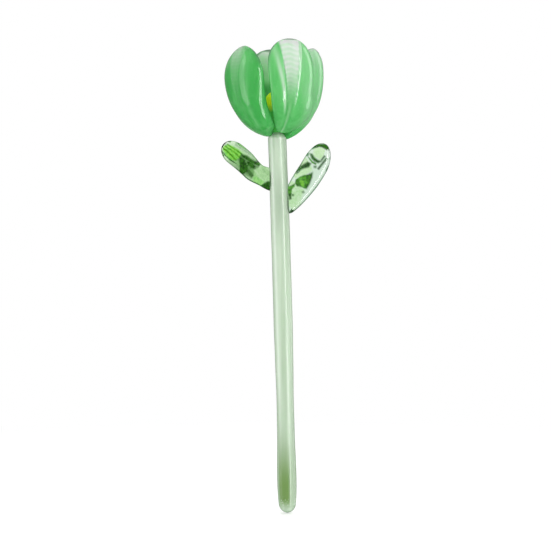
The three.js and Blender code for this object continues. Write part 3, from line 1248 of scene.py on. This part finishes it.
RIM, WASH, SAGE, LIME, GREEN, DEEP = Tone
LEFT_PATCHES = (
    # The first patch is painted shade: grey along the leaf's upper edge.
    Patch(RIM, ((20.8, 1.9), (21.0, 3.2), (17.0, 3.9), (14.9, 4.0), (12.4, 3.6), (9.7, 2.8), (10.1, 2.0),
        (12.4, 1.8), (14.8, 2.1), (16.6, 2.1), (18.6, 2.0)), 1.0, 0.25),
    Patch(SAGE, ((22.6, -1.2), (21.4, 0.9), (17.0, 1.9), (12.5, 1.8), (10.8, 0.0), (7.5, -0.9), (3.0, -0.6),
        (2.0, -2.2), (8.0, -2.7), (14.0, -2.6), (20.0, -2.2)), 1.0, 0.6),
    Patch(SAGE, ((9.8, 1.9), (6.5, 2.4), (3.0, 2.2), (3.0, 0.9), (7.0, 0.9), (9.4, 1.1)), 0.9, 0.4),
    Patch(SAGE, ((11.5, 0.4), (10.4, 1.3), (3.0, 1.1), (3.0, -0.8), (7.5, -1.0)), 0.8, 0.4),
    Patch(LIME, ((23.4, -0.5), (22.7, 1.0), (21.0, 1.5), (18.8, 1.8), (17.2, 1.5), (16.8, 0.2), (17.3, -1.4),
        (18.8, -2.2), (21.1, -2.0), (22.7, -1.3)), 1.0, 0.25),
    Patch(LIME, ((9.5, -1.8), (8.5, -1.3), (5.4, -0.9), (5.5, -1.8), (7.0, -2.5), (8.8, -2.6)), 0.6, 0.3),
    Patch(GREEN, ((19.4, -2.4), (17.0, -0.6), (14.6, -1.8), (14.6, -2.8), (17.4, -3.0)), 0.6, 0.4),
    Patch(GREEN, ((9.6, 1.4), (8.6, 2.4), (6.0, 3.0), (3.0, 2.8), (3.0, 1.2), (7.5, 0.9)), 0.3, 0.4),
    Patch(GREEN, ((17.5, 1.2), (14.0, 1.8), (9.8, 2.1), (9.9, 1.0), (10.6, -0.3), (9.4, -1.5), (9.5, -2.5),
        (12.2, -2.9), (15.2, -2.4), (17.2, -0.8)), 0.85, 0.3),
    Patch(DEEP, ((17.2, 1.1), (15.5, 1.7), (12.6, 1.7), (10.1, 2.0), (10.2, 1.25), (12.4, 0.9), (14.0, 0.8),
        (15.3, 0.7), (16.5, 0.45))),
    Patch(DEEP, ((14.4, 0.4), (13.4, 1.1), (10.9, 0.95), (10.7, 0.0), (12.0, -0.4), (13.3, -0.4))),
    Patch(DEEP, ((16.9, -0.4), (15.5, -1.6), (14.1, -2.8), (12.5, -2.9), (12.0, -2.0), (12.3, -1.0),
        (13.2, -0.4), (14.1, 0.0), (15.4, 0.6), (16.6, 0.5))),
    Patch(DEEP, ((12.4, -0.9), (12.1, -2.0), (11.2, -2.2), (9.7, -2.4), (9.6, -1.6), (11.0, -1.2)), 0.9),
    Patch(DEEP, ((17.0, 1.0), (13.6, 1.5), (10.5, 1.7), (10.7, -0.2), (12.2, -1.0), (14.0, -2.5),
        (16.8, -0.5)), 0.5, 0.3),
    Patch(DEEP, ((5.8, -2.7), (5.2, -1.5), (4.5, -0.3), (3.9, 0.3), (2.0, -2.0), (3.5, -2.9))),
)
RIGHT_PATCHES = (
    Patch(WASH, ((24.0, -2.4), (25.6, -0.6), (25.4, 0.8), (23.4, 1.4), (21.8, 1.2), (21.6, -1.4))),
    Patch(WASH, ((20.0, -3.2), (19.4, -1.6), (17.6, 1.2), (15.0, 0.2), (12.0, -1.6), (13.0, -2.6),
        (16.0, -3.0))),
    Patch(WASH, ((10.6, -2.2), (11.0, 0.4), (10.6, 2.6), (6.0, 3.6), (3.0, 2.8), (3.0, 0.0)), 1.0, 0.5),
    Patch(SAGE, ((10.6, -0.4), (10.8, 1.5), (10.0, 3.0), (6.0, 3.8), (3.0, 3.0), (3.0, 0.2)), 0.35, 0.5),
    Patch(LIME, ((8.0, 0.2), (9.4, 0.8), (10.6, 2.0), (10.4, 2.6), (9.0, 2.1), (7.6, 0.9)), 0.12, 0.3),
    Patch(DEEP, ((22.2, -3.1), (24.1, -2.8), (25.7, -1.9), (26.8, -0.6), (27.0, 0.6), (26.3, 1.4),
        (25.8, 1.4), (25.7, 0.4), (25.6, -0.6), (25.1, -1.5), (24.0, -2.2))),
    Patch(DEEP, ((21.6, -2.3), (21.9, -1.8), (21.4, -0.8), (21.3, 0.5), (21.7, 1.9), (20.6, 1.3), (20.4, 0.0),
        (20.6, -1.1))),
    Patch(GREEN, ((20.6, -2.5), (20.5, -1.7), (20.1, -0.5), (20.3, 1.1), (19.6, 1.1), (19.4, -0.4),
        (19.9, -1.6))),
    Patch(DEEP, ((21.1, -3.3), (21.4, -2.6), (20.6, -2.4), (20.5, -3.0))),
    Patch(DEEP, ((23.7, 1.55), (23.7, 1.9), (21.9, 1.85), (21.8, 1.5)), soft=0.1),
    Patch(DEEP, ((23.3, 2.4), (23.3, 2.75), (19.0, 2.6), (19.0, 2.2)), soft=0.1),
    Patch(DEEP, ((13.6, -2.0), (14.6, -2.6), (16.0, -2.4), (17.6, -1.9), (18.9, -1.5), (19.1, -0.5),
        (17.7, -0.4), (16.4, -1.4), (15.2, -1.8))),
    Patch(DEEP, ((19.0, 0.8), (19.4, 1.4), (18.9, 1.6), (18.6, 1.1))),
    Patch(GREEN, ((10.5, -0.9), (11.8, -1.4), (13.4, -0.9), (14.7, -0.2), (15.8, 0.9), (17.1, 1.6),
        (15.4, 2.4), (13.2, 2.9), (11.3, 3.0), (10.9, 2.4), (10.8, 1.1), (10.1, 0.1))),
    Patch(DEEP, ((17.1, 1.6), (15.4, 2.4), (13.2, 2.9), (11.3, 3.0), (11.1, 2.6), (12.8, 2.3), (14.4, 1.6),
        (14.8, 0.4), (15.8, 0.9)), 0.75, 0.25),
    Patch(DEEP, ((10.5, -0.7), (11.6, -1.1), (12.4, -0.6), (11.6, -0.1), (11.2, 1.0), (10.8, 1.2),
        (10.3, 0.1)), 0.7, 0.25),
    Patch(GREEN, ((8.1, -2.1), (9.3, -1.4), (10.8, -0.9), (9.8, -0.4), (8.4, -0.5), (7.1, 0.1), (5.7, 0.6),
        (5.8, -0.3)), 1.0, 0.2),
    Patch(DEEP, ((6.5, -0.6), (6.6, 0.0), (5.6, 0.8), (5.1, 0.5))),
    Patch(DEEP, ((7.0, 0.2), (7.2, 0.7), (6.8, 0.9), (6.6, 0.5))),
    Patch(DEEP, ((1.5, 2.3), (2.9, 2.6), (3.0, 3.8), (1.4, 3.7))),
    Patch(DEEP, ((9.6, 2.4), (10.1, 2.6), (9.9, 3.0), (9.5, 2.8)), 0.8),
)
RIGHT_HEART = Patch(LIME, ((12.6, -0.1), (12.9, 0.7), (12.2, 1.5), (11.4, 1.7), (11.2, 1.0), (11.7, 0.1)),
    1.0, 0.4)


def leaves() -> list[Leaf]:
    """Lists the leaves.

    Returns:
        The left and the right leaf.
    """
    return [
        Leaf(
            "leaf_left", Side.LEFT, drop=17.0, tilt=51.4, length=24.1, width=7.6, root_width=5.7,
            thickness=4.0, root_round=4.5, tip_round=5.2, belly=17.0, arch=0.0, sway=-0.65, sway_place=10.0,
            flare=0.8, cords=1.0, patches=LEFT_PATCHES,
            glass=ClearLeaf("leaf_green_deep", (0.557, 0.803, 0.451), 320.0),
        ),
        Leaf(
            "leaf_right", Side.RIGHT, drop=24.4, tilt=35.0, length=27.3, width=8.9, root_width=6.3,
            thickness=3.8, root_round=2.4, tip_round=8.0, belly=15.0, arch=1.2, sway=0.5, sway_place=4.5,
            sway_spread=5.0, cords=0.3, patches=RIGHT_PATCHES, hearts=(RIGHT_HEART,),
            glass=ClearLeaf("leaf_green_pale", (0.19, 0.61, 0.275), 130.0),
        ),
    ]


# Studio


@dataclass(frozen=True)
class Softbox:
    """A soft light that faces the flower, with sizes in metres.

    Its turn, from the front towards +X, and its rise are degrees.
    """

    name: str
    turn: float
    rise: float
    size: Span
    radiance: float
    distance: float = 0.7
    glossy: bool = True

    def build(self, aim: Vector) -> None:
        """Hangs the light, which the camera doesn't see, nor anything through glass.

        Args:
            aim: The point that it faces.
        """
        lamp = bpy.data.lights.new(self.name, "AREA")
        lamp.shape = "RECTANGLE"
        lamp.size, lamp.size_y = self.size
        lamp.energy = self.radiance * math.pi * self.size[0] * self.size[1]
        holder = linked(self.name, lamp)
        turn, rise = math.radians(self.turn), math.radians(self.rise)
        away = Vector((math.sin(turn) * math.cos(rise), -math.cos(turn) * math.cos(rise), math.sin(rise)))
        holder.location = aim + away * self.distance
        holder.rotation_euler = (-away).to_track_quat("-Z", "Y").to_euler()
        holder.visible_camera = False
        holder.visible_transmission = False
        holder.visible_glossy = self.glossy


@dataclass(frozen=True)
class Studio:
    """A grey room with a white backdrop: a pale floor, soft lights and the camera at the photograph's angle.

    The camera's sizes are millimetres, and the floor's and the aim of the lights are metres. The room's spans
    are shares of a direction's length, upwards for the ceiling and away from the viewer for the rest.
    """

    camera_distance: float = 480.0
    camera_x: float = -4.04
    camera_height: float = 79.83
    view_width: float = 185.6
    sensor: float = 36.0
    ambient: float = 0.42
    room: Colour = (0.12, 0.13, 0.12)
    walls: Colour = (0.5, 0.52, 0.5)
    walls_end: Span = (0.3, 0.75)
    flag: Colour = (0.16, 0.17, 0.16)
    flag_start: Span = (0.4, 0.75)
    backdrop_start: Span = (0.985, 0.995)
    ceiling: Colour = (0.16, 0.19, 0.16)
    ceiling_start: Span = (0.5, 0.9)
    floor_colour: Colour = (0.86, 0.86, 0.86)
    floor_half: float = 3.0
    floor_drop: float = 0.0002
    floor_fade: Span = (0.06, 0.3)
    floor_glow: float = 0.35
    aim: tuple[float, float, float] = (0.0, 0.0, 0.1)
    lights: tuple[Softbox, ...] = (
        Softbox("key_strip", 44.0, -5.0, (0.14, 1.1), 6.8),
        Softbox("fill_left", -76.0, 8.0, (0.26, 1.3), 2.0),
        Softbox("rim_right", 112.0, 8.0, (0.22, 0.9), 2.2),
        Softbox("top_front", 8.0, 52.0, (0.5, 0.3), 2.4, glossy=False),
        Softbox("top_back", 180.0, 48.0, (0.6, 0.4), 3.0, glossy=False),
    )

    def build_camera(self) -> None:
        """Sets the camera level with the middle of the flower."""
        data = bpy.data.cameras.new("camera")
        data.sensor_width = self.sensor
        data.lens = self.sensor * self.camera_distance / self.view_width
        camera = linked("camera", data)
        camera.location = (self.camera_x * MM, -self.camera_distance * MM, self.camera_height * MM)
        camera.rotation_euler = (math.pi / 2, 0.0, 0.0)
        bpy.context.scene.camera = camera

    def build_world(self) -> None:
        """Makes the room: white to the eye and through glass, with a grey surround that gloss shows."""
        world = bpy.data.worlds.new("room")
        bpy.context.scene.world = world
        world.use_nodes = True
        world.node_tree.nodes.clear()
        graph = Graph(world.node_tree)
        path = graph.add("ShaderNodeLightPath").outputs
        eye, gloss, glass = (path[f"Is {kind} Ray"] for kind in ("Camera", "Glossy", "Transmission"))
        direction = graph.add("ShaderNodeSeparateXYZ", {0: graph.place("Generated")}).outputs
        away, up = direction["Y"], direction["Z"]

        ahead = graph.mixed(graph.ranged(away, *self.walls_end), self.walls, WHITE)
        overhead = graph.times(graph.ranged(up, *self.ceiling_start), glass)
        through = graph.mixed(overhead, graph.mixed(glass, WHITE, ahead), self.ceiling)
        flagged = graph.mixed(graph.ranged(away, *self.flag_start), self.room, self.flag)
        mirrored = graph.mixed(graph.ranged(away, *self.backdrop_start), flagged, WHITE)
        bounced = graph.maths("SUBTRACT", gloss, glass)
        view = graph.mixed(bounced, through, mirrored)
        seen = graph.add("ShaderNodeBackground", {"Color": view, "Strength": 1.0})
        light = graph.add("ShaderNodeBackground", {"Color": WHITE, "Strength": self.ambient})
        shown = graph.maths("MAXIMUM", graph.maths("MAXIMUM", gloss, glass), eye)
        choice = graph.add("ShaderNodeMixShader", {0: shown, 1: light.outputs[0], 2: seen.outputs[0]})
        graph.add("ShaderNodeOutputWorld", {"Surface": choice.outputs[0]})

    def build_floor(self) -> None:
        """Lays the pale floor, which fades into the white of the room away from the flower."""
        half = self.floor_half
        corners = [(-half, -half, 0.0), (half, -half, 0.0), (half, half, 0.0), (-half, half, 0.0)]
        mesh = bpy.data.meshes.new("floor")
        mesh.from_pydata(corners, [], [(0, 1, 2, 3)])
        floor = linked("floor", mesh)
        floor.location.z = -self.floor_drop
        floor.visible_glossy = False

        material, graph, shader, output = surface("floor_white")
        graph.feed(shader, {
            "Base Color": self.floor_colour, "Emission Color": WHITE, "Emission Strength": self.floor_glow,
            "Roughness": POLISH.use(graph, Scale=40.0, Glossiest=0.5, Dullest=0.6)[1],
        })
        far = graph.add("ShaderNodeVectorMath", {0: graph.place("Object")}, operation="LENGTH")
        fade = graph.ranged(far.outputs["Value"], *self.floor_fade)
        white = graph.add("ShaderNodeEmission")
        choice = graph.add("ShaderNodeMixShader", {0: fade, 1: shader.outputs[0], 2: white.outputs[0]})
        graph.feed(output, {"Surface": choice.outputs[0]})
        mesh.materials.append(material)

    def build(self) -> None:
        """Builds the room, the lights and the camera."""
        self.build_camera()
        self.build_world()
        self.build_floor()
        for light in self.lights:
            light.build(Vector(self.aim))
        bpy.context.scene.view_settings.view_transform = "Standard"


def main() -> None:
    """Builds the flower piece by piece, then the room round it."""
    logging.basicConfig(level=logging.INFO, format="%(message)s")
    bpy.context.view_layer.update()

    stem = Stem()
    stem.dress(stem.build())
    Bloom(stem).build()
    for leaf in leaves():
        leaf.dress(leaf.build(stem))
    Studio().build()


if __name__ == "__main__":
    main()
